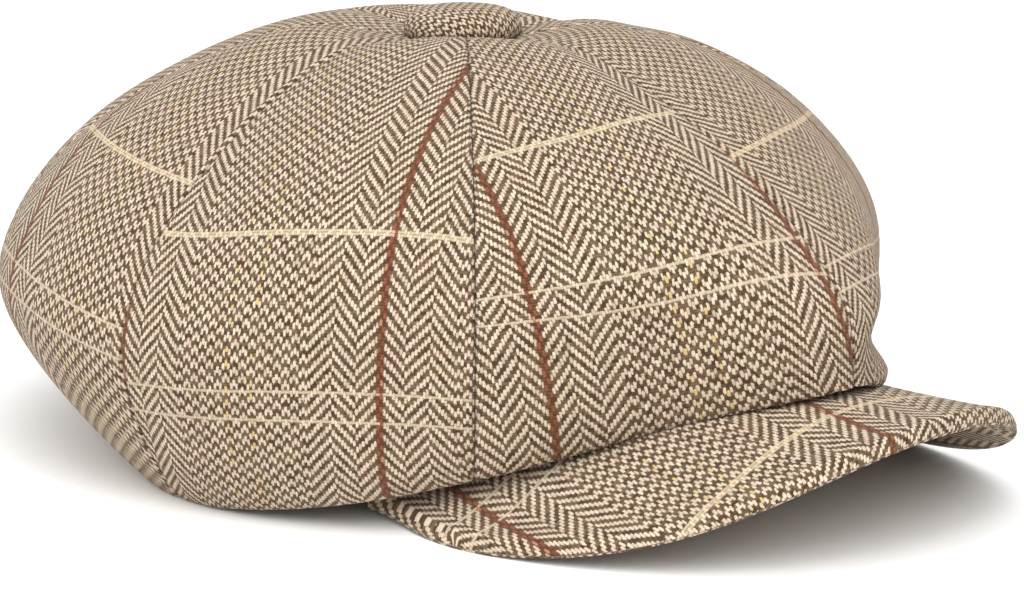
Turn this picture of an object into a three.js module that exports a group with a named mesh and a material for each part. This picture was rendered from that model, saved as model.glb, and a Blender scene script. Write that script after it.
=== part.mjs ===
// Eight-panel newsboy cap in herringbone tweed, standing on the floor.
// Millimetres, +Z up, peak towards -Y, symmetric about X = 0.
import * as THREE from 'three';

// Cloth and sewing
const CLOTH = 2.0;            // tweed with its backing
const SEAM_GAP = 0.3;         // between pieces that are sewn together
const PILLOW = 1.2;           // how far a panel bulges between its seams

// Crown, measured from the upright axis through the button
const CROWN_LENGTH = 291;     // front fold to back fold
const CROWN_HEIGHT = 132.5;   // top of the crown before the button pulls it in
const DIP_DEPTH = 11.6;       // how far the button pulls the top in
const DIP_RADIUS = 34;
const DIP_POWER = 3;          // 2 would give a rounder dip
const REACH = CROWN_LENGTH / 2;

// The crown's half profile in each direction, as shares of REACH and CROWN_HEIGHT.
// angle: degrees from the front; waist: the widest place; fold: the lowest place;
// top and low: fullness of the arcs above and below the waist.
const CROWN_COLUMNS = ['angle', 'waistReach', 'waistHeight', 'foldReach', 'foldHeight', 'top', 'low'];
const CROWN_SHARES = [
  [0, 1.024, 0.404, 1.034, 0.296, 1.50, 1.87],
  [20, 0.877, 0.500, 0.852, 0.219, 1.70, 1.89],
  [45, 0.841, 0.461, 0.780, 0.110, 1.96, 1.96],
  [90, 0.890, 0.340, 0.740, -0.004, 1.66, 1.35],
  [135, 0.952, 0.386, 0.600, -0.004, 1.77, 1.46],
  [180, 0.976, 0.359, 0.740, -0.004, 1.86, 1.82],
].map((row) => Object.fromEntries(CROWN_COLUMNS.map((column, i) => [column, row[i]])));

// The turn from the fold in to the band: how far it runs flat, and how steeply it ends
const TURN_FLAT_SHARE = 0.45;
const TURN_END_SHARE = 0.1;

// Seams between the panels, degrees from the front on each side
const SEAMS = [0, 43.5, 91.8, 136, 180];
const PANEL_NAMES = ['front', 'temple', 'side', 'back'];
const PANEL_ACROSS = [-1, -0.92, -0.65, -0.32, 0, 0.32, 0.65, 0.92, 1];
const TIP_SHARE = 0.045;      // the panels' tips stop under the button
const PILLOW_SHARE = 0.8;     // share of the profile after which a panel is flat again
const UPRIGHT_SHARE = 0.4;    // share of the profile after which the cloth hangs upright
const PROFILE_PARTS = 3;      // the profile's parts: top, low and turn
const TOP_ROWS = 12;
const LOW_STEPS = [0, 0.14, 0.28, 0.42, 0.56, 0.7, 0.83, 0.94];
const TURN_STEPS = [0, 0.1, 0.3, 0.55, 0.8, 1];

// Head band: an upright oval ring that the crown and the peak are sewn to
const BAND_HALF_WIDTH = 83;
const BAND_HALF_LENGTH = 101;
const BAND_CENTRE = -13;
const BAND_HEIGHT = 26;
const BAND_THICK = 2;
const BAND_STEPS = 56;
const CROWN_SEWN_AT = 22;     // height on the band where the crown's edge lies

// Peak: its rim in plan and its arch across
const PEAK_HALF_WIDTH = 95.5;
const PEAK_BACK = 47;         // distance of its back corners in front of the button
const PEAK_REACH = 135.5;     // from those corners to the front of the rim
const PEAK_TUCK = 0.12;       // how far the back corners draw in under the crown
const TUCK_POWER = 40;
const PEAK_SQUARE = 0.85;     // 1 would give a plain half ellipse
const PEAK_ARCH = 0.2513 * CROWN_HEIGHT;   // the crown's front fold lies on the arch
const ARCH_POWER = 3.75;
const PEAK_THICK = 4;
const ROOT_LIFT = 1.5;        // the peak slopes down by this much to its rim
const PEAK_SETTLE = 0.9;      // pressed flat on the floor below this height
const ROOT_SPREAD = 68;       // degrees of the band's oval that the peak takes
const PEAK_COLUMNS = 32;
// Rows of the peak from root to rim: its thickness as a share, and how far its top hangs over
const PEAK_ROWS = [[1, 0], [1, 0], [1, 0], [1, 0], [1, 0], [0.97, 0], [0.86, 0], [0.62, 0.7]];
const ROWS_TO_RIM = 1.5;      // above 1 the rows crowd towards the rim

// Button
const BUTTON_RADIUS = 17.5;
const BUTTON_HEIGHT = 7.0;
const BUTTON_CLEAR = 1.0;     // above the crown's pulled-in top
const BUTTON_FOOT_SHARES = [0.93, 0.08];   // its lower edge: of the radius, of the height
const BUTTON_WIDEST_SHARE = 0.25;    // of the height
const BUTTON_SQUARE = 0.55;   // 1 would give a plain dome
const BUTTON_RINGS = 7;
const BUTTON_STEPS = 32;

// Mean colours of the tweed on each piece
const CROWN_COLOR = 0x9a866c;
const BAND_COLOR = 0x6e5d4b;
const PEAK_COLOR = 0x94806a;
const BUTTON_COLOR = 0x8a7660;

const DEG = Math.PI / 180;
const clamp = (x, lo, hi) => Math.min(hi, Math.max(lo, x));

// Smooth value of one column of the crown's table at an angle from the front
function crownAt(column, degrees) {
  const rows = CROWN_SHARES;
  const angle = Math.abs(degrees);
  const last = rows.length - 1;
  let k = 0;
  while (k < last - 1 && rows[k + 1].angle <= angle) k += 1;
  const slope = (i) => {
    if (i === 0 || i === last) return 0;
    const before = rows[i].angle - rows[i - 1].angle;
    const after = rows[i + 1].angle - rows[i].angle;
    const into = (rows[i][column] - rows[i - 1][column]) / before;
    const out = (rows[i + 1][column] - rows[i][column]) / after;
    return (after * into + before * out) / (before + after);
  };
  const span = rows[k + 1].angle - rows[k].angle;
  const u = (angle - rows[k].angle) / span;
  return rows[k][column] * (1 + 2 * u) * (1 - u) ** 2
    + span * slope(k) * u * (1 - u) ** 2
    + rows[k + 1][column] * u * u * (3 - 2 * u)
    + span * slope(k + 1) * u * u * (u - 1);
}

// Height of the peak's arch at a distance from the middle
function archHeight(x) {
  const side = clamp(Math.abs(x) / PEAK_HALF_WIDTH, 0, 1) ** (1 / PEAK_SQUARE);
  return PEAK_ARCH * Math.sqrt(1 - side * side) ** ARCH_POWER;
}

// The band's oval, by its own angle from the front
function bandPoint(turn, grow) {
  return [(BAND_HALF_WIDTH + grow) * Math.sin(turn),
    BAND_CENTRE - (BAND_HALF_LENGTH + grow) * Math.cos(turn)];
}

// The band's lower edge follows the peak's arch in front and is level behind
function bandFoot(turn) {
  const front = Math.cos(turn) > 0;
  return archHeight(front ? BAND_HALF_WIDTH * Math.sin(turn) : BAND_HALF_WIDTH);
}

// Distance from the button's axis to the band's outer face, at an angle from the front
function bandReach(angle) {
  const sx = Math.sin(angle) / BAND_HALF_WIDTH;
  const sy = Math.cos(angle) / BAND_HALF_LENGTH;
  const offset = BAND_CENTRE / BAND_HALF_LENGTH;
  const a = sx * sx + sy * sy;
  const b = sy * offset;
  return (-b + Math.sqrt(b * b - a * (offset * offset - 1))) / a;
}

const bezier = (p, u) => p[0] * (1 - u) ** 3 + 3 * p[1] * u * (1 - u) ** 2
  + 3 * p[2] * u * u * (1 - u) + p[3] * u ** 3;

// Half profile of the crown: 0 to 1 from the top to the waist, 1 to 2 to the fold,
// 2 to 3 turning in and up to the band
function profile(degrees, t) {
  const waist = REACH * crownAt('waistReach', degrees);
  const waistZ = CROWN_HEIGHT * crownAt('waistHeight', degrees);
  const fold = REACH * crownAt('foldReach', degrees);
  const foldZ = CROWN_HEIGHT * crownAt('foldHeight', degrees);
  let reach;
  let height;
  if (t <= 1) {
    const power = 2 / crownAt('top', degrees);
    const a = t * Math.PI / 2;
    reach = waist * Math.sin(a) ** power;
    height = waistZ + (CROWN_HEIGHT - waistZ) * Math.max(0, Math.cos(a)) ** power;
  } else if (t <= 2) {
    const power = 2 / crownAt('low', degrees);
    const a = (t - 1) * Math.PI / 2;
    reach = fold + (waist - fold) * Math.max(0, Math.cos(a)) ** power;
    height = foldZ + (waistZ - foldZ) * (1 - Math.sin(a) ** power);
  } else {
    const angle = degrees * DEG;
    const end = bandReach(angle) + SEAM_GAP;
    const turn = Math.atan2(end * Math.sin(angle) / BAND_HALF_WIDTH,
      (end * Math.cos(angle) + BAND_CENTRE) / BAND_HALF_LENGTH);
    const endZ = bandFoot(turn) + CROWN_SEWN_AT;
    const in1 = fold - TURN_FLAT_SHARE * (fold - end);
    const in2 = end + TURN_END_SHARE * (fold - end);
    reach = bezier([fold, in1, in2, end], t - 2);
    height = bezier([foldZ, foldZ, (foldZ + endZ) / 2, endZ], t - 2);
  }
  return [reach, height - DIP_DEPTH * Math.exp(-((reach / DIP_RADIUS) ** DIP_POWER))];
}

// A point on the cloth's outer face; across runs from -1 to 1 between two seams
function crownPoint(from, to, across, t) {
  const middle = (from + to) / 2;
  const half = (to - from) / 2;
  let degrees = middle + across * half;
  const [reach, height] = profile(degrees, t);
  const gap = SEAM_GAP / 2 / Math.max(reach, SEAM_GAP) / DEG;
  degrees = middle + across * (half - gap);
  const fade = Math.sin(Math.PI * clamp(t / (PROFILE_PARTS * PILLOW_SHARE), 0, 1));
  const bulge = PILLOW * fade * (1 - across * across);
  const lean = Math.min(1, t / (PROFILE_PARTS * UPRIGHT_SHARE)) * Math.PI / 2;
  const r = reach + bulge * Math.sin(lean);
  const z = height + bulge * Math.cos(lean);
  return new THREE.Vector3(r * Math.sin(degrees * DEG), -r * Math.cos(degrees * DEG), z);
}

// A closed skin from two equal grids of points: an outer face and an inner face
function shell(outer, inner) {
  const rows = outer.length;
  const cols = outer[0].length;
  const points = [...outer.flat(), ...inner.flat()];
  const index = [];
  const out = (i, j) => i * cols + j;
  const inn = (i, j) => rows * cols + i * cols + j;
  const quad = (a, b, c, d) => index.push(a, b, c, a, c, d);
  for (let i = 0; i < rows - 1; i += 1) {
    for (let j = 0; j < cols - 1; j += 1) {
      quad(out(i, j), out(i + 1, j), out(i + 1, j + 1), out(i, j + 1));
      quad(inn(i, j), inn(i, j + 1), inn(i + 1, j + 1), inn(i + 1, j));
    }
    quad(out(i, 0), inn(i, 0), inn(i + 1, 0), out(i + 1, 0));
    quad(out(i + 1, cols - 1), inn(i + 1, cols - 1), inn(i, cols - 1), out(i, cols - 1));
  }
  for (let j = 0; j < cols - 1; j += 1) {
    quad(out(0, j + 1), inn(0, j + 1), inn(0, j), out(0, j));
    quad(out(rows - 1, j), inn(rows - 1, j), inn(rows - 1, j + 1), out(rows - 1, j + 1));
  }
  return toGeometry(points, index);
}

function toGeometry(points, index) {
  const geometry = new THREE.BufferGeometry();
  geometry.setAttribute('position', new THREE.Float32BufferAttribute(
    points.flatMap((p) => [p.x, p.y, p.z]), 3));
  geometry.setIndex(index);
  geometry.computeVertexNormals();
  return geometry;
}

// One crown panel between two seams
function crownPanel(from, to) {
  const steps = [];
  for (let i = 0; i < TOP_ROWS; i += 1) steps.push(TIP_SHARE + (1 - TIP_SHARE) * i / TOP_ROWS);
  steps.push(...LOW_STEPS.map((u) => 1 + u), ...TURN_STEPS.map((u) => 2 + u));
  const nudge = 0.01;
  const outer = [];
  const inner = [];
  for (const t of steps) {
    const outerRow = [];
    const innerRow = [];
    for (const across of PANEL_ACROSS) {
      const point = crownPoint(from, to, across, t);
      const left = crownPoint(from, to, Math.max(across - nudge, -1), t);
      const right = crownPoint(from, to, Math.min(across + nudge, 1), t);
      const above = crownPoint(from, to, across, Math.max(t - nudge, TIP_SHARE / 2));
      const below = crownPoint(from, to, across, Math.min(t + nudge, PROFILE_PARTS));
      const normal = below.sub(above).cross(right.sub(left)).normalize();
      if (Math.abs(across) === 1) {
        const seam = (across < 0 ? from : to) * DEG;
        const sideways = new THREE.Vector3(Math.cos(seam), Math.sin(seam), 0);
        normal.addScaledVector(sideways, -normal.dot(sideways)).normalize();
      }
      innerRow.push(point.clone().addScaledVector(normal, -CLOTH));
      outerRow.push(point.setZ(Math.max(point.z, 0)));
    }
    outer.push(outerRow);
    inner.push(innerRow);
  }
  return shell(outer, inner);
}

// The head band, closed on itself
function headBand() {
  const points = [];
  const index = [];
  for (let i = 0; i < BAND_STEPS; i += 1) {
    const turn = 2 * Math.PI * i / BAND_STEPS;
    const foot = bandFoot(turn);
    const [ox, oy] = bandPoint(turn, 0);
    const [ix, iy] = bandPoint(turn, -BAND_THICK);
    points.push(new THREE.Vector3(ox, oy, foot), new THREE.Vector3(ox, oy, foot + BAND_HEIGHT),
      new THREE.Vector3(ix, iy, foot + BAND_HEIGHT), new THREE.Vector3(ix, iy, foot));
  }
  for (let i = 0; i < BAND_STEPS; i += 1) {
    const here = 4 * i;
    const next = 4 * ((i + 1) % BAND_STEPS);
    for (let k = 0; k < 4; k += 1) {
      const m = (k + 1) % 4;
      index.push(here + k, next + k, next + m, here + k, next + m, here + m);
    }
  }
  return toGeometry(points, index);
}

// A point on the peak's underside: along from its sewn root, 0, to its rim, 1
function peakPoint(turn, along) {
  const side = Math.sign(turn) * Math.abs(Math.sin(turn)) ** PEAK_SQUARE;
  const tuck = 1 - PEAK_TUCK * Math.abs(Math.sin(turn)) ** TUCK_POWER;
  const rim = [PEAK_HALF_WIDTH * side * tuck,
    -PEAK_BACK - PEAK_REACH * Math.max(0, Math.cos(turn))];
  const root = bandPoint(turn / 90 * ROOT_SPREAD, SEAM_GAP);
  const x = root[0] + (rim[0] - root[0]) * along;
  const y = root[1] + (rim[1] - root[1]) * along;
  return new THREE.Vector3(x, y, archHeight(x) + ROOT_LIFT * (1 - along) ** 2);
}

function peak() {
  const top = [];
  const under = [];
  PEAK_ROWS.forEach(([thickness, overhang], i) => {
    const along = 1 - (1 - i / (PEAK_ROWS.length - 1)) ** ROWS_TO_RIM;
    const topRow = [];
    const underRow = [];
    for (let j = 0; j <= PEAK_COLUMNS; j += 1) {
      const low = peakPoint((2 * j / PEAK_COLUMNS - 1) * Math.PI / 2, along);
      low.z -= PEAK_SETTLE;
      topRow.push(low.clone().add(new THREE.Vector3(0, overhang, PEAK_THICK * thickness)));
      underRow.push(low.setZ(Math.max(low.z, 0)));
    }
    top.push(topRow);
    under.push(underRow);
  });
  return shell(top, under);
}

// The covered button: a low dome turned about the crown's axis
function button() {
  const base = CROWN_HEIGHT - DIP_DEPTH + BUTTON_CLEAR;
  const outline = [new THREE.Vector2(0, 0),
    new THREE.Vector2(BUTTON_FOOT_SHARES[0] * BUTTON_RADIUS, BUTTON_FOOT_SHARES[1] * BUTTON_HEIGHT)];
  for (let i = 0; i <= BUTTON_RINGS; i += 1) {
    const a = (i / BUTTON_RINGS) * Math.PI / 2;
    const rise = BUTTON_WIDEST_SHARE + (1 - BUTTON_WIDEST_SHARE) * Math.sin(a);
    const out = i === BUTTON_RINGS ? 0 : Math.cos(a) ** BUTTON_SQUARE;
    outline.push(new THREE.Vector2(BUTTON_RADIUS * out, BUTTON_HEIGHT * rise));
  }
  const geometry = new THREE.LatheGeometry(outline, BUTTON_STEPS);
  geometry.rotateX(Math.PI / 2);
  geometry.translate(0, 0, base);
  return geometry;
}

const cap = new THREE.Group();
function add(name, geometry, color) {
  const material = new THREE.MeshStandardMaterial({ color, roughness: 0.95, side: THREE.FrontSide });
  const mesh = new THREE.Mesh(geometry, material);
  mesh.name = name;
  cap.add(mesh);
}

for (let i = 0; i < PANEL_NAMES.length; i += 1) {
  add(`crown_${PANEL_NAMES[i]}_left`, crownPanel(SEAMS[i], SEAMS[i + 1]), CROWN_COLOR);
  add(`crown_${PANEL_NAMES[i]}_right`, crownPanel(-SEAMS[i + 1], -SEAMS[i]), CROWN_COLOR);
}
add('head_band', headBand(), BAND_COLOR);
add('peak', peak(), PEAK_COLOR);
add('button', button(), BUTTON_COLOR);

// Origin under the middle of the whole cap, on the floor
const middleY = (REACH * CROWN_SHARES[CROWN_SHARES.length - 1].waistReach - PEAK_BACK - PEAK_REACH) / 2;
for (const mesh of cap.children) mesh.geometry.translate(0, -middleY, 0);

export default cap;
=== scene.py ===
import math

import bpy
import numpy as np
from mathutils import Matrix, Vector


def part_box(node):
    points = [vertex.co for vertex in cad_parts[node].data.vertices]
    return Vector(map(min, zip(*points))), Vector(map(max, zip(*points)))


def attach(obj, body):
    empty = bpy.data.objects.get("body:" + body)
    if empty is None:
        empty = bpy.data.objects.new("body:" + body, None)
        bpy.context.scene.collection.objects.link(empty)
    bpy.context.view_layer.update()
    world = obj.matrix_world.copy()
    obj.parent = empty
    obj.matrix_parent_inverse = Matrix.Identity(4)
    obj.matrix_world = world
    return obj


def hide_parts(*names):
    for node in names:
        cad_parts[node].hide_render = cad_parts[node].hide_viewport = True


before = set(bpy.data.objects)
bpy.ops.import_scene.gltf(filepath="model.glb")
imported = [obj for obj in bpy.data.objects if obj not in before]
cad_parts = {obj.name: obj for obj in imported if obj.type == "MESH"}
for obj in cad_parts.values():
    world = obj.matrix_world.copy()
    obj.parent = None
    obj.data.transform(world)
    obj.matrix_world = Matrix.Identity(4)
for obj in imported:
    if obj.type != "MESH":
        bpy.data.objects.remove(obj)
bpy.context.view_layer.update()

# An eight-panel newsboy cap in herringbone tweed on a pale studio floor.
# Shapes are worked out in millimetres from the button's axis, and go to Blender in metres.
MM = 0.001
BUTTON_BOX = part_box("button")
AXIS = (Vector(BUTTON_BOX[0]) + Vector(BUTTON_BOX[1])) / 2

# Cloth and sewing
CLOTH = 2.0
SEAM_GAP = 0.3
SEAM_SHOWN = 0.12            # the cloths of two panels all but touch
SEAM_ROLL = 0.75             # how deep the cloth rolls in at a seam
SEAM_WIDTH = 1.3
ROLL_EASE = 8                # the roll is shallower next to the button
ROLL_LEAST = 0.2
PILLOW = 1.2                 # a panel swells this far between its seams
PUCKERS = ((0.16, 7.3, 1), (0.12, 11.9, 2))   # height, length, and times the phase
PUCKER_SHIFT = 2.1           # the phase between the two sides of a panel
PUCKER_REACH = 4.0
WAVE_HEIGHT = 0.55
WAVE_AT_SEAM = 0.35          # the share of the waves that is left at a seam
CALM_REACH = 12.0            # how far from a seam or rim the waves are full
RELAXED_AT = 2.4             # on the profile: further in the cloth has no forms of its own
FLOOR_CLEAR = 0.4            # the cloth's inner face stays this far above the floor
FAR_FROM_SEAM = 20.0         # for cloth that gets no painted seam shade
TINY = 1e-9

# Soft waves of the cloth: direction across, back and up, then length and phase
WAVES = ((0.9, 0.3, 0.5, 61, 0.4), (-0.4, 0.8, 0.3, 47, 1.9), (0.2, -0.5, 0.9, 38, 3.1),
         (0.7, 0.7, -0.2, 53, 4.4), (-0.8, 0.1, 0.7, 33, 5.2))

# Crown
REACH = 291 / 2              # the table's shares are of this and of the height
CROWN_HEIGHT = 132.5         # before the dip
DIP_DEPTH = 11.6             # the button pulls the top in
DIP_RADIUS = 34.0
DIP_POWER = 3
CROWN_COLUMNS = ("angle", "waist_reach", "waist_height", "fold_reach", "fold_height", "top", "low")
CROWN_TABLE = np.array([
    (0, 1.024, 0.404, 1.034, 0.296, 1.50, 1.87),
    (20, 0.877, 0.500, 0.852, 0.219, 1.70, 1.89),
    (45, 0.841, 0.461, 0.780, 0.110, 1.96, 1.96),
    (90, 0.890, 0.340, 0.740, -0.004, 1.66, 1.35),
    (135, 0.952, 0.386, 0.600, -0.004, 1.77, 1.46),
    (180, 0.976, 0.359, 0.740, -0.004, 1.86, 1.82),
])
SEAMS = (0, 43.5, 91.8, 136, 180)   # degrees from the front
TOP_START = 0.045            # on the profile: the panels begin under the button
CROWN_ROWS = 150
CROWN_ACROSS = 38
WAIST_SOFTNESS = 4.5         # the waist is rounded over this length
FOLD_SOFTNESS = 1.3          # and the fold over this one
FOLD_SPAN = 0.35             # on the profile
TURN_IN = 0.45               # shares of the way in that shape the cloth under the fold
RUN_IN = 0.1
PROFILE_STEPS = 900

# Columns crowd towards both seams of a panel: distances from a seam, and the most that each
# may be as a share of the panel's half width
EDGE_INSETS = np.array([0, 0.3, 0.7, 1.2, 1.9, 3.0, 4.6])
EDGE_SHARES = np.array([0, 0.05, 0.10, 0.16, 0.23, 0.31, 0.40])

# A pouch beside the front seam on the wearer's left, a dip above a roll. Angles in degrees
POUCH_ANGLE = 12.5
POUCH_SPREAD = 8
POUCH_START = 0.5
POUCH_EASE = 3
POUCH_DIP = (-4.2, 49, 5.5)  # lift, height above the floor, and spread
POUCH_ROLL = (3.2, 37.6, 3.4)

# A slight hollow in the top between the button and the left temple
HOLLOW_DEPTH = 1.8
HOLLOW_ANGLE = 50
HOLLOW_ANGLE_SPREAD = 25
HOLLOW_DOWN = 52
HOLLOW_DOWN_SPREAD = 12

# Head band
BAND_HALF_WIDTH = 83.0
BAND_HALF_LENGTH = 101.0
BAND_CENTRE = -13.0
BAND_HEIGHT = 26.0
BAND_THICK = 2.0
BAND_SET_IN = 0.5            # its outer face is this far inside the line it is sewn to
BAND_CREASE = 0.5
BAND_PATTERN = 60            # its pattern is counted down from this height
BAND_STEPS = 180
BAND_ROWS = 16
CROWN_SEWN_AT = 22.0         # above the band's lower edge

# Peak
PEAK_HALF_WIDTH = 95.5
PEAK_BACK = 47.0
PEAK_REACH = 135.5
PEAK_TUCK = 0.12             # its back corners turn in by this share of the half width
TUCK_POWER = 40
PEAK_SQUARE = 0.85           # under 1, its outline is squarer than an oval
PEAK_ARCH = 0.2513 * CROWN_HEIGHT
ARCH_POWER = 3.75
PEAK_THICK = 4.0
ROOT_LIFT = 1.5              # it rises a little towards the band
PEAK_SETTLE = 0.9
ROOT_SPREAD = 68             # degrees of the band that it is sewn to on each side
RIM_SEAM = 0.9               # the rim's seam is this far above its lower edge
RIM_GROOVE = 0.12
RIM_SWELL = 0.9              # the turned-in cloth makes the rim thicker
SWELL_SPREAD = 8.0
TOP_ROUND = 2.8              # the edge is rounded over these lengths above and below its seam
UNDER_ROUND = 1.0
PEAK_LEAST = 0.2             # its least thickness, right at the seam
PEAK_WAVE = 0.3
PEAK_WAVE_SCALE = 1.3
PEAK_STEPS = 121
PEAK_ROWS = 44
RIM_CROWDING = 1.6           # the rows crowd towards the rim
ARC_STEPS = 800

# Button
BUTTON_RADIUS = 17.5
BUTTON_HEIGHT = 9.2
BUTTON_CLEAR = 0.3           # above the bottom of the dip
BUTTON_SQUARE = 0.5          # under 1, the dome is squarer than a ball
BUTTON_WIDEST = 0.30         # it is widest at this share of its height
BUTTON_UNDER = 0.55          # how steeply it goes down from there
BUTTON_TUCK = 0.35           # how far past its widest ring it turns in, of a right angle
BUTTON_MIDDLE = 0.05
GATHERS = 22                 # folds of its cloth underneath
GATHER_DEPTH = 0.35
GATHER_SPAN = 0.5
GATHER_START = 0.2
BUTTON_WEAVE = 1.15          # the button's cloth looks a little finer
BUTTON_PATTERN = 200         # its pattern starts this far down, clear of the cream lines
BUTTON_STEPS = 96
BUTTON_RINGS = 26

# Tweed: widths and lengths of the pattern on the cloth
CHEVRON = 6.75               # half a herringbone
CHEVRON_WARPS = 8
WARP = CHEVRON / CHEVRON_WARPS
WEFT = 0.91
HALF_REPEAT = 6 * CHEVRON    # from a rust line to the middle between two of them
HERRING_WARPS = 3 * CHEVRON_WARPS   # each side of a rust line; the rest is bird's-eye
YELLOW_WARP = 43             # counted from the rust line
THIN_LINES = (48, 57)        # wefts below the thick cream line

# seam: the first of a panel's two seams; side: 1 for the wearer's left; turned: cut the other
# way up, so that its chevrons point up where the others' point down
PANEL_COLUMNS = ("seam", "side", "turned")
PANELS = {
    "crown_front_left": (0, 1, False),
    "crown_front_right": (0, -1, True),
    "crown_temple_left": (1, 1, True),
    "crown_temple_right": (1, -1, False),
    "crown_side_left": (2, 1, False),
    "crown_side_right": (2, -1, True),
    "crown_back_left": (3, 1, True),
    "crown_back_right": (3, -1, False),
}

# Where the pattern lies on each panel. rust: how far the rust line is to the right of the
# panel's middle; above and below: its lean; width and spread: how the pattern is scaled across;
# drawn: how far it is drawn in towards its right-hand seam; thick: how far down the thick line
# is; stretch: the scale down; slant, fade and bow: the thick line's own lean, how much further
# down that is gone, and its sag
PATTERN_COLUMNS = ("rust", "above", "below", "width", "spread", "drawn",
                   "thick", "stretch", "slant", "fade", "bow")
PATTERNS = {
    "crown_front_left": (-56.5, -0.22, -0.22, 1.246, 0.0, 0.0, 106.8, 1.05, 0.0, 60, 0.0015),
    "crown_front_right": (-32.8, 0.125, 0.2, 0.978, 0.0018, 2.5, 95.6, 0.92, 0.3, 62, 0.0012),
    "crown_temple_left": (-28.5, 0.0, 0.06, 1.0, 0.0, 0.0, 127.0, 0.995, 0.032, 200, 0.0012),
    "crown_temple_right": (28.5, 0.0, -0.06, 1.0, 0.0, 0.0, 127.0, 0.995, -0.032, 200, 0.0012),
    "crown_side_left": (14.5, -0.35, -0.1, 1.0, 0.0, 0.0, 112.3, 0.985, -0.08, 90, 0.0012),
    "crown_side_right": (-14.5, 0.35, 0.1, 1.0, 0.0, 0.0, 112.3, 0.985, 0.08, 90, 0.0012),
    "crown_back_left": (24.0, 0.0, 0.0, 1.0, 0.0, 0.0, 122.0, 1.0, 0.0, 60, 0.0012),
    "crown_back_right": (-24.0, 0.0, 0.0, 1.0, 0.0, 0.0, 122.0, 1.0, 0.0, 60, 0.0012),
}
LEAN_FROM = 150              # how far down the panel rust is measured
DRAWN_STAGES = ((105, 40), (155, 35))   # how far down it is drawn in, and over what length
DRAWN_FROM = 55              # right of the rust line
DRAWN_EASE = 26

# On the peak the cloth lies askew: its change sideways, its change backwards, and a start
PEAK_ACROSS = (0.9197, -0.2524, 56.46)
PEAK_ALONG = (0.0655, 0.7908, 124.34)


def bell(value, middle, spread):
    """1 at the middle, falling smoothly to nothing on both sides."""
    return np.exp(-((value - middle) / spread) ** 2)


def crown_at(column, degrees):
    """Smooth value of one column of the crown's table, at angles from the front."""
    angles = CROWN_TABLE[:, 0]
    values = CROWN_TABLE[:, CROWN_COLUMNS.index(column)]
    steps = np.diff(angles)
    rises = np.diff(values) / steps
    slopes = np.zeros(len(angles))
    slopes[1:-1] = (steps[1:] * rises[:-1] + steps[:-1] * rises[1:]) / (steps[1:] + steps[:-1])
    at = np.abs(degrees)
    k = np.clip(np.searchsorted(angles, at, side="right") - 1, 0, len(angles) - 2)
    u = (at - angles[k]) / steps[k]
    return (values[k] * (1 + 2 * u) * (1 - u) ** 2 + steps[k] * slopes[k] * u * (1 - u) ** 2
            + values[k + 1] * u * u * (3 - 2 * u) + steps[k] * slopes[k + 1] * u * u * (u - 1))


def arch_height(x):
    """The height of the peak's arch over the floor, this far to the side."""
    side = np.clip(np.abs(x) / PEAK_HALF_WIDTH, 0, 1) ** (1 / PEAK_SQUARE)
    return PEAK_ARCH * np.sqrt(1 - side * side) ** ARCH_POWER


def band_point(turn, grow):
    """A point of the band's oval seen from above, grown by so much."""
    return ((BAND_HALF_WIDTH + grow) * np.sin(turn),
            BAND_CENTRE - (BAND_HALF_LENGTH + grow) * np.cos(turn))


def band_foot(turn):
    """The band's lower edge follows the peak's arch in front and is level behind."""
    return arch_height(np.where(np.cos(turn) > 0, BAND_HALF_WIDTH * np.sin(turn), BAND_HALF_WIDTH))


def band_reach(angle):
    """How far the band's oval is from the button's axis in one direction."""
    sx = np.sin(angle) / BAND_HALF_WIDTH
    sy = np.cos(angle) / BAND_HALF_LENGTH
    offset = BAND_CENTRE / BAND_HALF_LENGTH
    a = sx * sx + sy * sy
    b = sy * offset
    return (-b + np.sqrt(b * b - a * (offset * offset - 1))) / a


def bezier(p0, p1, p2, p3, u):
    """A smooth curve from p0 to p3 that p1 and p2 pull to themselves."""
    return p0 * (1 - u) ** 3 + 3 * p1 * u * (1 - u) ** 2 + 3 * p2 * u * u * (1 - u) + p3 * u ** 3


def profile(degrees, t):
    """Half profile of the crown: 0 to 1 from the top to the waist, 1 to 2 to the fold,
    2 to 3 turning in and up to the band."""
    waist = REACH * crown_at("waist_reach", degrees)
    waist_z = CROWN_HEIGHT * crown_at("waist_height", degrees)
    fold = REACH * crown_at("fold_reach", degrees)
    fold_z = CROWN_HEIGHT * crown_at("fold_height", degrees)
    a = np.clip(t, 0, 1) * np.pi / 2
    power = 2 / crown_at("top", degrees)
    top_reach = waist * np.sin(a) ** power
    top_z = waist_z + (CROWN_HEIGHT - waist_z) * np.maximum(0, np.cos(a)) ** power
    a = np.clip(t - 1, 0, 1) * np.pi / 2
    power = 2 / crown_at("low", degrees)
    low_reach = fold + (waist - fold) * np.maximum(0, np.cos(a)) ** power
    low_z = fold_z + (waist_z - fold_z) * (1 - np.sin(a) ** power)
    angle = np.radians(degrees)
    end = band_reach(angle) + SEAM_GAP
    turn = np.arctan2(end * np.sin(angle) / BAND_HALF_WIDTH,
                      (end * np.cos(angle) + BAND_CENTRE) / BAND_HALF_LENGTH)
    end_z = band_foot(turn) + CROWN_SEWN_AT
    u = np.clip(t - 2, 0, 1)
    in_reach = bezier(fold, fold - TURN_IN * (fold - end), end + RUN_IN * (fold - end), end, u)
    in_z = bezier(fold_z, fold_z, (fold_z + end_z) / 2, end_z, u)
    reach = np.where(t <= 1, top_reach, np.where(t <= 2, low_reach, in_reach))
    height = np.where(t <= 1, top_z, np.where(t <= 2, low_z, in_z))
    return reach, height - DIP_DEPTH * np.exp(-((reach / DIP_RADIUS) ** DIP_POWER))


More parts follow.
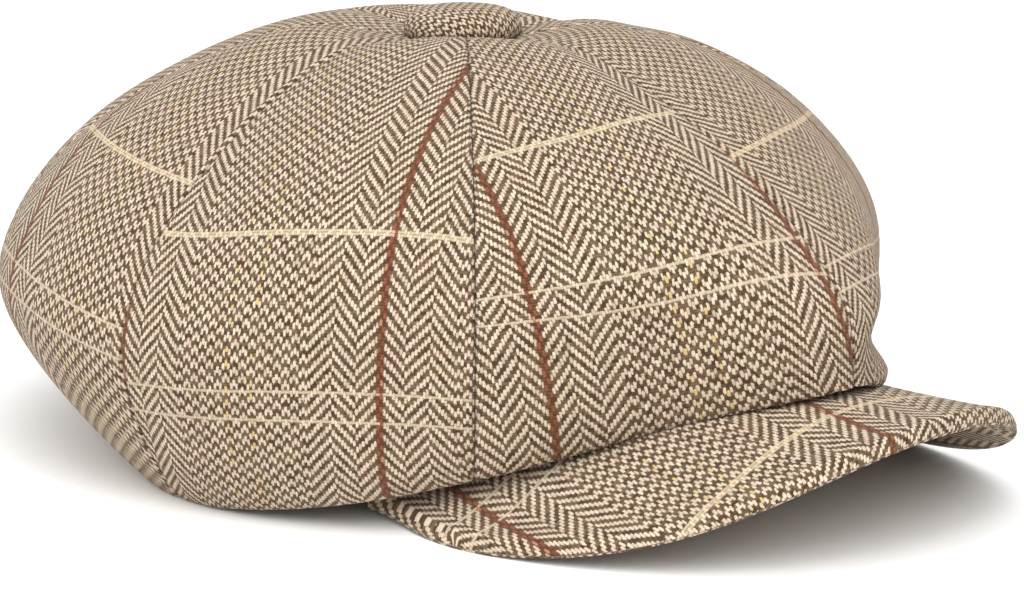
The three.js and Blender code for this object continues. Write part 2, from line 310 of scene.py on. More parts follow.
def smoothed(values, width):
    """Values softened along their first axis, with both ends held."""
    # Beyond three widths the weights are next to nothing
    span = int(3 * width) + 1
    weights = np.exp(-0.5 * (np.arange(-span, span + 1) / width) ** 2)
    weights /= weights.sum()
    before = 2 * values[:1] - values[span:0:-1]
    after = 2 * values[-1:] - values[-2:-span - 2:-1]
    padded = np.concatenate([before, values, after])
    return sum(w * padded[k:k + len(values)] for k, w in enumerate(weights))


def crown_table():
    """The crown's profiles all round, in rows evenly spaced down the cloth."""
    degrees = np.linspace(0, 180, 181)
    t = np.linspace(TOP_START, 3, PROFILE_STEPS)
    reach, height = profile(degrees[None, :], t[:, None])
    step = np.hypot(np.diff(reach, axis=0), np.diff(height, axis=0))
    down = np.concatenate([np.zeros((1, len(degrees))), np.cumsum(step, axis=0)])
    down += reach[0]
    share = np.linspace(0, 1, CROWN_ROWS)
    rows = {"reach": [], "height": [], "down": [], "t": []}
    for k in range(len(degrees)):
        at = down[0, k] + share * (down[-1, k] - down[0, k])
        rows["reach"].append(np.interp(at, down[:, k], reach[:, k]))
        rows["height"].append(np.interp(at, down[:, k], height[:, k]))
        rows["down"].append(at)
        rows["t"].append(np.interp(at, down[:, k], t))
    table = {name: np.array(values).T for name, values in rows.items()}
    spacing = np.diff(table["down"], axis=0).mean()
    at_fold = bell(table["t"], 2, FOLD_SPAN)
    for name in ("reach", "height"):
        soft = smoothed(table[name], WAIST_SOFTNESS / spacing)
        crisp = smoothed(table[name], FOLD_SOFTNESS / spacing)
        table[name] = soft + (crisp - soft) * at_fold
    return degrees, table


DEGREES, CROWN = crown_table()


def crown_row_at(name, degrees):
    """One quantity of the crown at an array of angles with one row for each of its rows."""
    at = np.abs(degrees)
    k = np.clip(at.astype(int), 0, len(DEGREES) - 2)
    rows = np.arange(CROWN_ROWS)[:, None]
    share = at - DEGREES[k]
    return CROWN[name][rows, k] * (1 - share) + CROWN[name][rows, k + 1] * share


def soft_waves(points):
    """Slow, uneven rise and fall of soft cloth, from -1 to 1."""
    total = 0
    for x, y, z, length, phase in WAVES:
        along = points @ (np.array([x, y, z]) / math.hypot(x, y, z))
        total = total + np.sin(2 * np.pi * along / length + phase)
    return total / len(WAVES)


def grid_normals(points, closed=False):
    """Unit normals of a grid of points, pointing to the side from which its columns run right."""
    down = np.gradient(points, axis=0)
    if closed:
        right = np.roll(points, -1, axis=1) - np.roll(points, 1, axis=1)
    else:
        right = np.gradient(points, axis=1)
    normals = np.cross(down, right)
    return normals / np.maximum(np.linalg.norm(normals, axis=2, keepdims=True), TINY)


def shell_faces(rows, cols):
    """Faces of a closed skin between an outer and an inner grid of the same size."""
    outer = np.arange(rows * cols).reshape(rows, cols)
    inner = outer + rows * cols
    faces = [np.stack([outer[:-1, :-1], outer[1:, :-1], outer[1:, 1:], outer[:-1, 1:]], -1),
             np.stack([inner[:-1, :-1], inner[:-1, 1:], inner[1:, 1:], inner[1:, :-1]], -1)]
    edges = ((outer[:, 0], inner[:, 0]), (inner[:, -1], outer[:, -1]),
             (inner[0], outer[0]), (outer[-1], inner[-1]))
    for near, far in edges:
        faces.append(np.stack([near[:-1], far[:-1], far[1:], near[1:]], -1))
    return np.concatenate([f.reshape(-1, 4) for f in faces]).tolist()


def make_piece(name, points, faces, cloth, material, sharp=50):
    """A mesh from points in millimetres, with the place of each point on the flat cloth.
    Edges that turn by more than sharp degrees stay sharp."""
    mesh = bpy.data.meshes.new(name)
    placed = points * MM + np.array([AXIS.x, AXIS.y, 0])
    mesh.from_pydata(placed.tolist(), [], faces)
    layer = mesh.attributes.new("cloth", "FLOAT_VECTOR", "POINT")
    layer.data.foreach_set("vector", cloth.astype(np.float32).ravel())
    mesh.update()
    mesh.shade_smooth()
    mesh.set_sharp_from_angle(angle=math.radians(sharp))
    mesh.materials.append(material)
    piece = bpy.data.objects.new(name, mesh)
    bpy.context.collection.objects.link(piece)
    return piece


def front_pouch(degrees, height):
    """The cloth is tacked to the peak in front, and bulges in a small roll on its left."""
    beside = bell(degrees, POUCH_ANGLE, POUCH_SPREAD)
    beside = beside * np.clip((degrees - POUCH_START) / POUCH_EASE, 0, 1)
    return beside * sum(lift * bell(height, middle, spread)
                        for lift, middle, spread in (POUCH_DIP, POUCH_ROLL))


def top_hollow(degrees, down):
    """The top sinks a little between the button and the left temple."""
    around = bell(degrees, HOLLOW_ANGLE, HOLLOW_ANGLE_SPREAD)
    return -HOLLOW_DEPTH * around * bell(down, HOLLOW_DOWN, HOLLOW_DOWN_SPREAD)


def seam_roll(seam, t):
    """How deep the cloth rolls in at its seam."""
    shallower = np.clip(t * ROLL_EASE, ROLL_LEAST, 1)
    return SEAM_ROLL * np.clip(1 - seam / SEAM_WIDTH, 0, 1) ** 2 * shallower


def puckers(seam, down, phase):
    """Small puckers that the stitches draw along a seam."""
    total = 0
    for height, length, share in PUCKERS:
        total = total + height * np.sin(2 * np.pi * down / length + share * phase)
    return total * np.exp(-seam / PUCKER_REACH)


def panel_columns(width):
    """Where the columns of a panel are in each row, from -1 at one seam to 1 at the other."""
    inset = np.minimum(EDGE_INSETS / width, EDGE_SHARES)
    inner = np.linspace(-1, 1, CROWN_ACROSS)[None, 1:-1] * (1 - inset[:, -1:])
    return np.concatenate([-1 + inset, inner, (1 - inset)[:, ::-1]], axis=1)


def panel_cloth(spec, base, across, down, seam):
    """The place of each point of a panel on the flat cloth, and its distance from a seam."""
    step = np.linalg.norm(np.diff(base, axis=1), axis=2)
    right = np.concatenate([np.zeros((CROWN_ROWS, 1)), np.cumsum(step, axis=1)], axis=1)
    right -= np.array([[np.interp(0, a, r)] for a, r in zip(across, right)])
    lean = np.where(down < LEAN_FROM, spec["above"], spec["below"])
    scale = spec["width"] + spec["spread"] * (LEAN_FROM - down)
    u = (right - spec["rust"] - lean * (down - LEAN_FROM)) * scale
    lower = sum(np.clip((down - start) / length, 0, 1) for start, length in DRAWN_STAGES)
    u = u + spec["drawn"] * lower * np.clip((u - DRAWN_FROM) / DRAWN_EASE, 0, 1)
    past = np.clip(1 - (down - spec["thick"]) / spec["fade"], 0, 1)
    sag = spec["thick"] + spec["bow"] * right ** 2
    v = (down - sag) * spec["stretch"] + spec["slant"] * past * right
    return np.stack([u, v, seam], -1)


def crown_panel(name, spec, material):
    """One panel of the crown, rolled in along its seams."""
    first, second = SEAMS[spec["seam"]], SEAMS[spec["seam"] + 1]
    start, end = (first, second) if spec["side"] > 0 else (-second, -first)
    middle, half = (start + end) / 2, (end - start) / 2
    width = crown_row_at("reach", np.full((CROWN_ROWS, 1), middle)) * math.radians(half)
    across = panel_columns(width)
    degrees = middle + across * half
    reach, height, down, t = (crown_row_at(key, degrees) for key in ("reach", "height", "down", "t"))
    gap = np.degrees(SEAM_SHOWN / 2 / reach)
    turn = np.radians(middle + across * (half - gap))
    base = np.stack([reach * np.sin(turn), -reach * np.cos(turn), height], -1)
    normals = grid_normals(base)

    seam = (1 - np.abs(across)) * width
    fade = np.sin(np.pi * np.clip(t / RELAXED_AT, 0, 1))
    bulge = PILLOW * fade * (1 - across ** 2)
    phase = PUCKER_SHIFT * np.sign(across) + middle
    calm = WAVE_AT_SEAM + (1 - WAVE_AT_SEAM) * np.clip(seam / CALM_REACH, 0, 1)
    wave = WAVE_HEIGHT * soft_waves(base) * fade * calm
    lift = bulge - seam_roll(seam, t) + puckers(seam, down, phase) * fade + wave
    lift = lift + front_pouch(degrees, height) + top_hollow(degrees, down)
    outer = base + normals * lift[..., None]
    inside = base + normals * (np.minimum(lift, bulge) - CLOTH)[..., None]
    outer[..., 2] = np.maximum(outer[..., 2], 0)
    inside[..., 2] = np.maximum(inside[..., 2], FLOOR_CLEAR)

    points = np.concatenate([outer.reshape(-1, 3), inside.reshape(-1, 3)])
    cloth = np.concatenate([panel_cloth(spec, base, across, down, seam).reshape(-1, 3)] * 2)
    piece = make_piece(name + "_cloth", points, shell_faces(*across.shape), cloth, material)
    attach(piece, "root")
    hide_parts(name)


def peak_point(turn, along):
    """A point on the peak's underside: along from its sewn root, 0, to its rim, 1."""
    side = np.sign(turn) * np.abs(np.sin(turn)) ** PEAK_SQUARE
    tuck = 1 - PEAK_TUCK * np.abs(np.sin(turn)) ** TUCK_POWER
    rim_x = PEAK_HALF_WIDTH * side * tuck
    rim_y = -PEAK_BACK - PEAK_REACH * np.maximum(0, np.cos(turn))
    root_x, root_y = band_point(turn / 90 * ROOT_SPREAD, SEAM_GAP)
    x = root_x + (rim_x - root_x) * along
    y = root_y + (rim_y - root_y) * along
    z = arch_height(x) + ROOT_LIFT * (1 - along) ** 2 - PEAK_SETTLE
    return np.stack([x, y, z], -1)


def rim_directions(rim):
    """Level directions straight out of the peak's rim."""
    along = np.gradient(rim, axis=0)
    out = np.stack([along[:, 1], -along[:, 0], np.zeros(len(rim))], -1)
    out /= np.maximum(np.linalg.norm(out, axis=1, keepdims=True), TINY)
    return out * np.where(out[:, 1:2] > 0, -1, 1)


def closing(gap, round_off):
    """A quarter round over the distance from the rim: 0 at the rim, 1 where it ends."""
    return np.sqrt(np.clip(1 - np.clip(1 - gap / round_off, 0, 1) ** 2, 0, 1))


def peak_cloth(low, out, around):
    """The place of the peak's points on the flat cloth, moved out where it goes round the edge."""
    xs = np.linspace(0, PEAK_HALF_WIDTH, ARC_STEPS)
    arcs = np.concatenate([[0], np.cumsum(np.hypot(np.diff(xs), np.diff(arch_height(xs))))])
    x = low[..., 0] + out[None, :, 0] * around
    y = low[..., 1] + out[None, :, 1] * around
    arc = np.sign(x) * np.interp(np.abs(x), xs, arcs)
    u, v = (per_arc * arc + per_y * y + start for per_arc, per_y, start in (PEAK_ACROSS, PEAK_ALONG))
    return np.stack([u, v, np.full_like(u, FAR_FROM_SEAM)], -1).reshape(-1, 3)


def peak(material):
    """The stiff peak: its top cloth wraps over the edge to a seam low on the rim."""
    turn = np.radians(np.linspace(-90, 90, PEAK_STEPS))[None, :]
    along = 1 - (1 - np.linspace(0, 1, PEAK_ROWS)) ** RIM_CROWDING
    low = peak_point(turn, along[:, None])
    gap = np.linalg.norm(low - low[-1:], axis=2)
    over = closing(gap, TOP_ROUND)
    beneath = closing(gap, UNDER_ROUND)
    seam_z = low[..., 2] + RIM_SEAM
    top_thick = PEAK_THICK - RIM_SEAM + RIM_SWELL * bell(gap, 0, SWELL_SPREAD)
    wave = PEAK_WAVE * soft_waves(low * PEAK_WAVE_SCALE) * np.clip(gap / CALM_REACH, 0, 1)
    top = low.copy()
    top[..., 2] = seam_z + RIM_GROOVE + (top_thick - RIM_GROOVE) * over + wave
    under = low.copy()
    under[..., 2] = seam_z - RIM_GROOVE - (RIM_SEAM - RIM_GROOVE) * beneath + wave
    under[..., 2] = np.maximum(under[..., 2], 0)
    top[..., 2] = np.maximum(top[..., 2], under[..., 2] + PEAK_LEAST)

    out = rim_directions(low[-1])
    wrapped = peak_cloth(low, out, top_thick * (1 - over))
    tucked = peak_cloth(low, out, -RIM_SEAM * (1 - beneath))
    points = np.concatenate([top.reshape(-1, 3), under.reshape(-1, 3)])
    cloth = np.concatenate([wrapped, tucked])
    faces = shell_faces(PEAK_ROWS, PEAK_STEPS)
    piece = make_piece("peak_cloth", points, faces, cloth, material, sharp=70)
    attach(piece, "root")
    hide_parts("peak")


def head_band(material):
    """The oval band inside, of the same cloth."""
    turn = np.linspace(0, 2 * np.pi, BAND_STEPS + 1)[None, :]
    share = np.linspace(0, 1, BAND_ROWS)[:, None]
    crease = BAND_CREASE * np.sin(np.pi * share)
    z = band_foot(turn) + BAND_HEIGHT * (1 - share)
    outer = np.stack([*band_point(turn, crease - BAND_SET_IN), z], -1)
    inner = np.stack([*band_point(turn, crease - BAND_THICK), z], -1)
    arc = np.concatenate([[0], np.cumsum(np.linalg.norm(np.diff(outer[0], axis=0), axis=1))])
    u = np.broadcast_to(arc, z.shape)
    cloth = np.stack([u, BAND_PATTERN - z, np.full_like(u, FAR_FROM_SEAM)], -1)
    points = np.concatenate([outer.reshape(-1, 3), inner.reshape(-1, 3)])
    cloth = np.concatenate([cloth.reshape(-1, 3)] * 2)
    piece = make_piece("head_band_cloth", points, shell_faces(*z.shape), cloth, material)
    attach(piece, "root")
    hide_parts("head_band")


def button(material):
    """The covered button, its cloth gathered underneath."""
    turn = np.linspace(0, 2 * np.pi, BUTTON_STEPS, endpoint=False)[None, :]
    a = np.linspace(-BUTTON_TUCK, 1, BUTTON_RINGS)[:, None] * np.pi / 2
    radius = BUTTON_RADIUS * np.cos(a) ** BUTTON_SQUARE
    radius[-1] = BUTTON_MIDDLE
    steepness = np.where(a > 0, 1 - BUTTON_WIDEST, BUTTON_UNDER)
    rise = BUTTON_HEIGHT * (BUTTON_WIDEST + steepness * np.sin(a))
    gather = GATHER_DEPTH * np.clip(-a / GATHER_SPAN + GATHER_START, 0, 1) * np.sin(GATHERS * turn)
    r = radius + gather
    z = np.broadcast_to(CROWN_HEIGHT - DIP_DEPTH + BUTTON_CLEAR + rise, r.shape)
    points = np.stack([r * np.sin(turn), -r * np.cos(turn), z], -1)
    slope = np.hypot(np.diff(radius[:, 0]), np.diff(rise[:, 0]))
    from_middle = np.concatenate([np.cumsum(slope[::-1])[::-1], [0]])[:, None] * BUTTON_WEAVE
    u = from_middle * np.sin(turn) + HALF_REPEAT
    v = BUTTON_PATTERN - from_middle * np.cos(turn)
    cloth = np.stack([u, v, np.full_like(u, FAR_FROM_SEAM)], -1).reshape(-1, 3)
    index = np.arange(r.size).reshape(r.shape)
    right = np.roll(index, -1, axis=1)
    faces = np.stack([index[:-1], right[:-1], right[1:], index[1:]], -1).reshape(-1, 4).tolist()
    faces.append(index[0].tolist()[::-1])
    faces.append(index[-1].tolist())
    piece = make_piece("button_cloth", points.reshape(-1, 3), faces, cloth, material, sharp=60)
    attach(piece, "root")
    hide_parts("button")


def feed(tree, slot, value):
    """Give a node's input a Value, another node's output, a colour or a plain number."""
    if isinstance(value, Value):
        tree.links.new(value.socket, slot)
    elif isinstance(value, bpy.types.NodeSocket):
        tree.links.new(value, slot)
    elif isinstance(value, tuple):
        slot.default_value = (*value, 1)
    else:
        slot.default_value = value


class Value:
    """A number worked out in a material's node tree, written as ordinary arithmetic."""

    def __init__(self, tree, socket):
        self.tree = tree
        self.socket = socket

    def math(self, operation, *others):
        node = self.tree.nodes.new("ShaderNodeMath")
        node.operation = operation
        for slot, value in zip(node.inputs, (self, *others)):
            feed(self.tree, slot, value)
        return Value(self.tree, node.outputs[0])

    def __add__(self, other):
        return self.math("ADD", other)

    def __sub__(self, other):
        return self.math("SUBTRACT", other)

    def __rsub__(self, other):
        return self * -1 + other

    def __mul__(self, other):
        return self.math("MULTIPLY", other)

    def __truediv__(self, other):
        return self.math("DIVIDE", other)

    def __mod__(self, other):
        return self.math("FLOORED_MODULO", other)

    def floor(self):
        return self.math("FLOOR")

    def size(self):
        return self.math("ABSOLUTE")

    def below(self, other):
        return self.math("LESS_THAN", other)

    def above(self, other):
        return self.math("GREATER_THAN", other)

    def clipped(self):
        return self.math("MAXIMUM", 0.0).math("MINIMUM", 1.0)

    def either(self, yes, no):
        """Where this number is 1, yes, and where it is 0, no."""
        return self * (yes - no) + no


def sum_of(values):
    """The sum of a few Values."""
    first, *others = values
    for value in others:
        first = first + value
    return first


class Tree:
    """A material's node tree with short calls for what the cloth needs."""

    def __init__(self, name):
        self.material = bpy.data.materials.new(name)
        self.material.use_nodes = True
        self.tree = self.material.node_tree
        self.shader = self.tree.nodes["Principled BSDF"]

    def cloth(self):
        """The place on the flat cloth, as a vector and as its three numbers."""
        node = self.tree.nodes.new("ShaderNodeAttribute")
        node.attribute_name = "cloth"
        split = self.tree.nodes.new("ShaderNodeSeparateXYZ")
        self.tree.links.new(node.outputs["Vector"], split.inputs[0])
        return node.outputs["Vector"], *(Value(self.tree, split.outputs[k]) for k in range(3))

    def place(self):
        """The place in the piece's own space."""
        node = self.tree.nodes.new("ShaderNodeTexCoord")
        return node.outputs["Object"]

    def noise(self, vector, scale, detail=2.0, roughness=0.5):
        """Cloudy noise from 0 to 1."""
        node = self.tree.nodes.new("ShaderNodeTexNoise")
        node.inputs["Scale"].default_value = scale
        node.inputs["Detail"].default_value = detail
        node.inputs["Roughness"].default_value = roughness
        self.tree.links.new(vector, node.inputs["Vector"])
        return Value(self.tree, node.outputs["Fac"])

    def random(self, x, y, z):
        """A random number from 0 to 1 that stays the same for the same x, y and z."""
        join = self.tree.nodes.new("ShaderNodeCombineXYZ")
        for slot, value in zip(join.inputs, (x, y, z)):
            feed(self.tree, slot, value)
        node = self.tree.nodes.new("ShaderNodeTexWhiteNoise")
        node.noise_dimensions = "3D"
        self.tree.links.new(join.outputs[0], node.inputs["Vector"])
        return Value(self.tree, node.outputs["Value"])

    def mix(self, share, first, second, blend="MIX"):
        """The first colour with a share of the second laid over it."""
        node = self.tree.nodes.new("ShaderNodeMix")
        node.data_type = "RGBA"
        node.blend_type = blend
        colours = [s for s in node.inputs if s.type == "RGBA"]
        for slot, value in zip([node.inputs[0], *colours], (share, first, second)):
            feed(self.tree, slot, value)
        return next(s for s in node.outputs if s.type == "RGBA")

    def grey(self, value):
        """A number as a grey colour."""
        node = self.tree.nodes.new("ShaderNodeCombineColor")
        for slot in node.inputs:
            self.tree.links.new(value.socket, slot)
        return node.outputs[0]

    def bump(self, height, distance, strength):
        """Make the surface look raised where the height is greater."""
        node = self.tree.nodes.new("ShaderNodeBump")
        node.inputs["Distance"].default_value = distance
        node.inputs["Strength"].default_value = strength
        self.tree.links.new(height.socket, node.inputs["Height"])
        self.tree.links.new(node.outputs[0], self.shader.inputs["Normal"])


# Colours of the yarns
CREAM_LIGHT = (0.765, 0.65, 0.55)
CREAM_DARK = (0.38, 0.293, 0.228)
CREAM_PINK = (0.655, 0.505, 0.43)
CREAM_GREEN = (0.58, 0.52, 0.385)
CREAM_LINE = (0.70, 0.56, 0.40)
BROWN = (0.095, 0.052, 0.027)
BROWN_LIGHT = (0.25, 0.165, 0.102)
RUST = (0.28, 0.095, 0.047)
RUST_DARK = (0.16, 0.055, 0.028)
ORANGE = (0.40, 0.19, 0.105)
YELLOW = (0.57, 0.40, 0.105)
PINKISH = (1.0, 0.93, 0.88)
GREENISH = (0.96, 1.0, 0.90)
SHEEN = (0.95, 0.88, 0.78, 1)

# Shares of the points that a colour takes, and how much of it is mixed in
PINK_BELOW = 0.25
GREEN_ABOVE = 0.8
HUE_AMOUNT = 0.6
ORANGE_ABOVE = 0.82
YELLOW_ABOVE = 0.35
YARN_TONE = 0.3              # share of a bead's tone that it has from its yarn
YARN_CHANGES = 0.03          # per millimetre down
FLUFF_TONE = 0.4             # share of a point's tone that it has from the fluff
FLUFF_CONTRAST = 1.4
WEFT_CHANGES = 0.5           # per millimetre across
WEFT_RUST = 0.7
THICK_AMOUNT = 0.6
RUST_WIDTH = 1.6             # in warps
RUST_EDGE = 1.6
RUST_FUZZ = 1.6
YELLOW_FUZZ = 0.65

# Places in the random draws, so that no two draws are alike
LEFT_TONES = 100
LEFT_HUES = 50
YARN_DRAW = 11
HUE_DRAW = 3
WEFT_DRAW = 7

# The weave. A warp's float is a bead over a little more than two wefts out of four
TWILL = 4
OVER = 0.12
CHEVRON_STEP = 3             # between the twill lines of neighbouring chevrons
EYE_WARPS = 3                # in one column of bird's-eye
FLUFF_ASIDE = 1.5
FLUFF_ENDS = 1.8
BEAD_ROUND = 0.6
CLUSTER_ROUND = 0.3
COVER_TO = 1.1               # roundness at which the bead ends
COVER_EDGE = 1.8
BEAD_DEPTH = 0.45
WEFT_DEPTH = 0.7
WEFT_HEIGHT = 0.5

# Noise on the cloth: scale and detail, and then a wander's amount or else the roughness
WANDER_ACROSS = ((0.35, 2, 0.5), (1.1, 1, 0.5))
WANDER_DOWN = ((0.3, 1, 0.5), (1.3, 1, 0.6))
FLUFF = (2.6, 3, 0.7)
STREAKS = (2.7, 3, 0.75)
CLOUDS = (38, 3)

# Painted shade between yarns and along seams, streaks of tone, and finish
DEPTH_SHADE = (0.8, 0.3)     # slope and start of the painted shade over the yarns' height
STREAK_TONE = (1.1, 0.45)
# Painted shade in each seam's groove: dashed at the stitches' length, then its strength and width
STITCH = 3.1
STITCH_SHADE = (0.3, 0.5)
SEAM_PAINTED_SHADE = 0.55
SEAM_PAINTED_SHADE_WIDTH = 0.7
ROUGHEST = 0.97
SMOOTHER = 0.1
SPECULAR = 0.1
SHEEN_WEIGHT = 0.12
SHEEN_ROUGHNESS = 0.5
FLUFF_BUMP = 0.4
BUMP_DISTANCE = 0.00045
BUMP_STRENGTH = 0.9


class Tweed(Tree):
    """Herringbone and bird's-eye twill woven yarn by yarn, with rust, yellow and cream lines."""

    def __init__(self, name, eye_only=False, turned=False):
        super().__init__(name)
        self.eye_only = eye_only
        self.turned = turned
        self.vector, u, v, self.seam = self.cloth()
        self.u = self.wandering(u, WANDER_ACROSS)
        self.v = self.wandering(v, WANDER_DOWN)
        self.fluff = self.noise(self.vector, *FLUFF) - 0.5
        self.find_warp()
        self.find_float()
        self.rust = ((RUST_WIDTH - (self.warp + self.fluff * RUST_FUZZ)) * RUST_EDGE).clipped()
        self.line = (self.v / WEFT).floor()
        self.thick = (self.line - 0.5).size().below(1)
        colour = self.mix(self.cover, self.weft_colour(), self.warp_colour())
        self.finish(self.shaded(colour))

    def wandering(self, value, waves):
        """A place on the cloth, thrown slightly out by slow noise."""
        for scale, detail, amount in waves:
            value = value + (self.noise(self.vector, scale, detail) - 0.5) * amount
        return value

    def find_warp(self):
        """Warps counted from the rust line, and the weave's step at each."""
        x = (self.u + HALF_REPEAT) % (2 * HALF_REPEAT) - HALF_REPEAT
        self.left = x.below(0)
        self.warp = x.size() / WARP
        self.count = self.warp.floor()
        self.chevron = (self.count / CHEVRON_WARPS).floor()
        in_chevron = self.count - self.chevron * CHEVRON_WARPS
        herring_step = (self.chevron % 2).either(in_chevron + CHEVRON_STEP, in_chevron * -1)
        eye_warp = self.count - HERRING_WARPS
        column = (eye_warp / EYE_WARPS).floor()
        middle = (eye_warp - column * EYE_WARPS - 1).size().below(0.5)
        eye_step = (column % 2) * 2 + middle
        self.herring = self.count.below(0 if self.eye_only else HERRING_WARPS)
        self.step = self.herring.either(herring_step, eye_step) + self.left * 2
        in_column = eye_warp + self.warp - self.count - column * EYE_WARPS
        self.cluster = (in_column - EYE_WARPS / 2) / (EYE_WARPS / 2)

    def find_float(self):
        """How well the warp's bead covers this point, and how high the upper yarn is."""
        weft = self.v * (-1 if self.turned else 1) / WEFT
        place = (weft + self.step + OVER) % TWILL - OVER
        self.bead = ((weft + self.step + OVER) / TWILL).floor()
        side = (self.warp - self.count) * 2 - 1 + self.fluff * FLUFF_ASIDE
        end = (place - 1 + self.fluff * FLUFF_ENDS) / (1 + OVER)
        cluster_round = (1 - self.herring) * self.cluster.math("POWER", 4) * CLUSTER_ROUND
        roundness = side * side * BEAD_ROUND + end.math("POWER", 4) + cluster_round
        self.cover = ((COVER_TO - roundness) * COVER_EDGE).clipped()
        across = (weft - weft.floor()) * 2 - 1
        weft_round = 1 - across * across * WEFT_DEPTH
        self.height = self.cover.either(1 - roundness * BEAD_DEPTH, weft_round * WEFT_HEIGHT)

    def warp_colour(self):
        """Creams from bead to bead, a rust and a yellow warp, and the thick cream line."""
        yarn_name = self.count + self.left * LEFT_TONES
        yarn = self.random(yarn_name, (self.v * YARN_CHANGES).floor(), YARN_DRAW)
        bead = self.random(yarn_name, self.bead, self.chevron)
        tone = bead * (1 - YARN_TONE) + yarn * YARN_TONE
        hue = self.random(self.bead, self.count + self.left * LEFT_HUES, HUE_DRAW)
        light = (self.fluff * FLUFF_CONTRAST + 0.5).clipped()
        light = tone * (1 - FLUFF_TONE) + light * FLUFF_TONE
        colour = self.mix(light, CREAM_DARK, CREAM_LIGHT)
        colour = self.mix(hue.below(PINK_BELOW) * HUE_AMOUNT, colour, CREAM_PINK)
        colour = self.mix(hue.above(GREEN_ABOVE) * HUE_AMOUNT, colour, CREAM_GREEN)
        if not self.eye_only:
            reds = self.mix(tone.above(ORANGE_ABOVE), self.mix(tone, RUST_DARK, RUST), ORANGE)
            colour = self.mix(self.rust, colour, reds)
        yellow = (self.count - YELLOW_WARP).size().below(0.5) * hue.above(YELLOW_ABOVE)
        colour = self.mix(yellow * (self.fluff + YELLOW_FUZZ).clipped(), colour, YELLOW)
        return self.mix(self.thick * (1 - self.rust) * THICK_AMOUNT, colour, CREAM_LINE)

    def weft_colour(self):
        """Browns, with one thick and two thin cream lines."""
        thin = sum_of((self.line - at).size().below(0.5) for at in THIN_LINES)
        tone = self.random(self.line, (self.u * WEFT_CHANGES).floor(), WEFT_DRAW)
        colour = self.mix(tone, BROWN, BROWN_LIGHT)
        if not self.eye_only:
            colour = self.mix(self.rust * WEFT_RUST, colour, RUST_DARK)
        return self.mix((self.thick + thin).clipped(), colour, CREAM_LINE)

    def shaded(self, colour):
        """Painted shade between yarns and in the seams' grooves, random streaks of tone, and slow
        changes of hue.
        """
        # painted shade in the pits between yarns, darker where the yarns lie lower
        slope, start = DEPTH_SHADE
        painted_yarn_shade = (self.height * slope + start).clipped()
        slope, start = STREAK_TONE
        painted_shade_and_streaks = painted_yarn_shade * (self.noise(self.vector, *STREAKS) * slope + start)
        # painted shade in the seam's groove, stronger and weaker in dashes along the stitches
        slope, start = STITCH_SHADE
        stitch = (self.v * (2 * math.pi / STITCH)).math("SINE") * slope + start
        seam_shade = (1 - self.seam / SEAM_PAINTED_SHADE_WIDTH).clipped() * stitch
        painted_shade_and_streaks = painted_shade_and_streaks * (1 - seam_shade * SEAM_PAINTED_SHADE)
        colour = self.mix(1, colour, self.grey(painted_shade_and_streaks), "MULTIPLY")
        cloud = self.noise(self.place(), *CLOUDS)
        return self.mix(1, colour, self.mix(cloud, PINKISH, GREENISH), "MULTIPLY")

    def finish(self, colour):
        """The matt, slightly hairy surface of wool."""
        rough = ROUGHEST - self.height * SMOOTHER
        self.tree.links.new(colour, self.shader.inputs["Base Color"])
        self.tree.links.new(rough.socket, self.shader.inputs["Roughness"])
        self.shader.inputs["Specular IOR Level"].default_value = SPECULAR
        self.shader.inputs["Sheen Weight"].default_value = SHEEN_WEIGHT
        self.shader.inputs["Sheen Roughness"].default_value = SHEEN_ROUGHNESS
        self.shader.inputs["Sheen Tint"].default_value = SHEEN
        self.bump(self.height + self.fluff * FLUFF_BUMP, BUMP_DISTANCE, BUMP_STRENGTH)


FLOOR_RADIUS = 6
FLOOR_SIDES = 96
FLOOR_GRAIN = (60, 3)
FLOOR_DARK = (0.92, 0.92, 0.915)
FLOOR_LIGHT = (0.95, 0.95, 0.945)
FLOOR_ROUGHNESS = 0.6
FLOOR_SPECULAR = 0.3


def floor_material():
    """Matt, nearly white and very slightly uneven."""
    t = Tree("pale_floor")
    grain = t.noise(t.place(), *FLOOR_GRAIN)
    t.tree.links.new(t.mix(grain, FLOOR_DARK, FLOOR_LIGHT), t.shader.inputs["Base Color"])
    t.shader.inputs["Roughness"].default_value = FLOOR_ROUGHNESS
    t.shader.inputs["Specular IOR Level"].default_value = FLOOR_SPECULAR
    return t.material


CROWN_TWEED = Tweed("crown_tweed").material
TURNED_TWEED = Tweed("crown_tweed_turned", turned=True).material
PEAK_TWEED = Tweed("peak_tweed", turned=True).material
BAND_TWEED = Tweed("band_tweed").material
BUTTON_TWEED = Tweed("button_tweed", eye_only=True).material

for panel_name, panel_row in PANELS.items():
    panel = dict(zip(PANEL_COLUMNS + PATTERN_COLUMNS, panel_row + PATTERNS[panel_name]))
    crown_panel(panel_name, panel, TURNED_TWEED if panel["turned"] else CROWN_TWEED)
peak(PEAK_TWEED)
head_band(BAND_TWEED)
button(BUTTON_TWEED)

bpy.ops.mesh.primitive_circle_add(vertices=FLOOR_SIDES, radius=FLOOR_RADIUS, fill_type="NGON")
studio_floor = bpy.context.object
studio_floor.name = "studio_floor"
studio_floor.data.materials.append(floor_material())

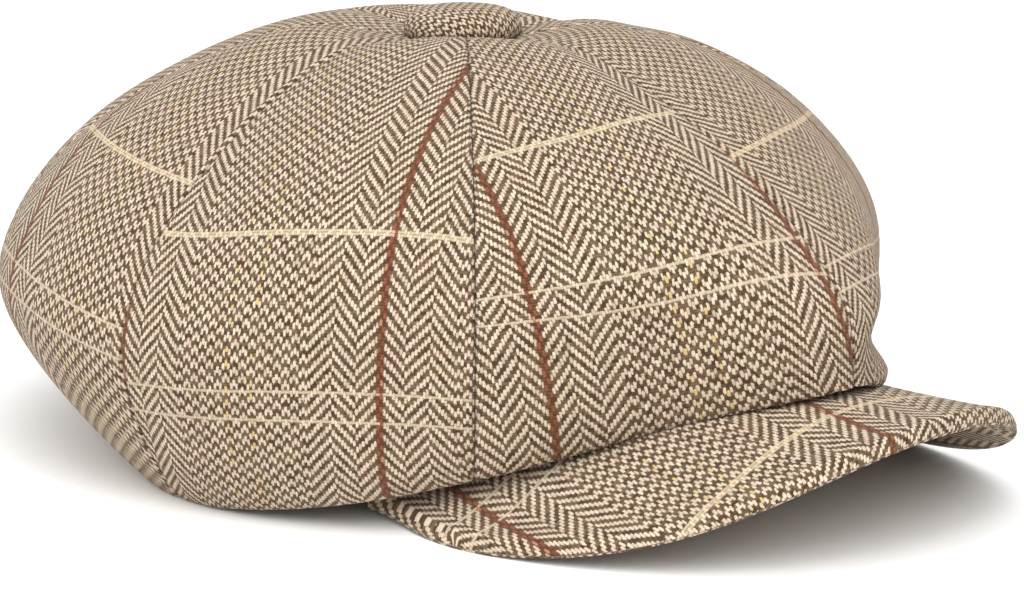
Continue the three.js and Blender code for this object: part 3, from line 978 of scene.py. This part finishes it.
# Camera at the photograph's angle
SENSOR = 36
LENS = 118.95
AZIMUTH = math.radians(-45)
ELEVATION = math.radians(10.42)
DISTANCE = 1.010
AIM_HEIGHT = 0.06625
SHIFT_X = 0.0478
SHIFT_Y = -0.0751
AIM = Vector((AXIS.x, AXIS.y, AIM_HEIGHT))
BACK = Vector((math.sin(AZIMUTH) * math.cos(ELEVATION), -math.cos(AZIMUTH) * math.cos(ELEVATION),
               math.sin(ELEVATION)))
camera_data = bpy.data.cameras.new("camera")
camera_data.sensor_width = SENSOR
camera_data.lens = LENS
camera_data.shift_x = SHIFT_X
camera_data.shift_y = SHIFT_Y
camera = bpy.data.objects.new("camera", camera_data)
camera.location = AIM + BACK * DISTANCE
camera.rotation_mode = "QUATERNION"
camera.rotation_quaternion = (-BACK).to_track_quat("-Z", "Y")
bpy.context.collection.objects.link(camera)
bpy.context.scene.camera = camera


def softbox(name, place, size, power):
    """A round lamp that faces the cap."""
    light = bpy.data.lights.new(name, "AREA")
    light.shape = "DISK"
    light.size = size
    light.energy = power
    lamp = bpy.data.objects.new(name, light)
    lamp.location = place
    lamp.rotation_mode = "QUATERNION"
    lamp.rotation_quaternion = (AIM - Vector(place)).to_track_quat("-Z", "Y")
    bpy.context.collection.objects.link(lamp)


def soft_sun(name, towards, strength, spread):
    """A distant light as wide as a window, so that the whole floor is lit alike."""
    light = bpy.data.lights.new(name, "SUN")
    light.energy = strength
    light.angle = math.radians(spread)
    lamp = bpy.data.objects.new(name, light)
    lamp.rotation_mode = "QUATERNION"
    lamp.rotation_quaternion = Vector(towards).to_track_quat("Z", "Y")
    bpy.context.collection.objects.link(lamp)


softbox("overhead", place=(-0.35, -0.3, 1.45), size=1.2, power=9)
soft_sun("window_left", towards=(-0.95, -0.1, 0.5), strength=1.15, spread=50)
soft_sun("window_front", towards=(-0.45, -0.75, 0.85), strength=1.7, spread=50)

ROOM_WHITE = (1, 1, 1, 1)
ROOM_STRENGTH = 0.7
world = bpy.data.worlds.new("white_room")
world.use_nodes = True
world.node_tree.nodes["Background"].inputs["Color"].default_value = ROOM_WHITE
world.node_tree.nodes["Background"].inputs["Strength"].default_value = ROOM_STRENGTH
bpy.context.scene.world = world
bpy.context.scene.view_settings.view_transform = "Standard"
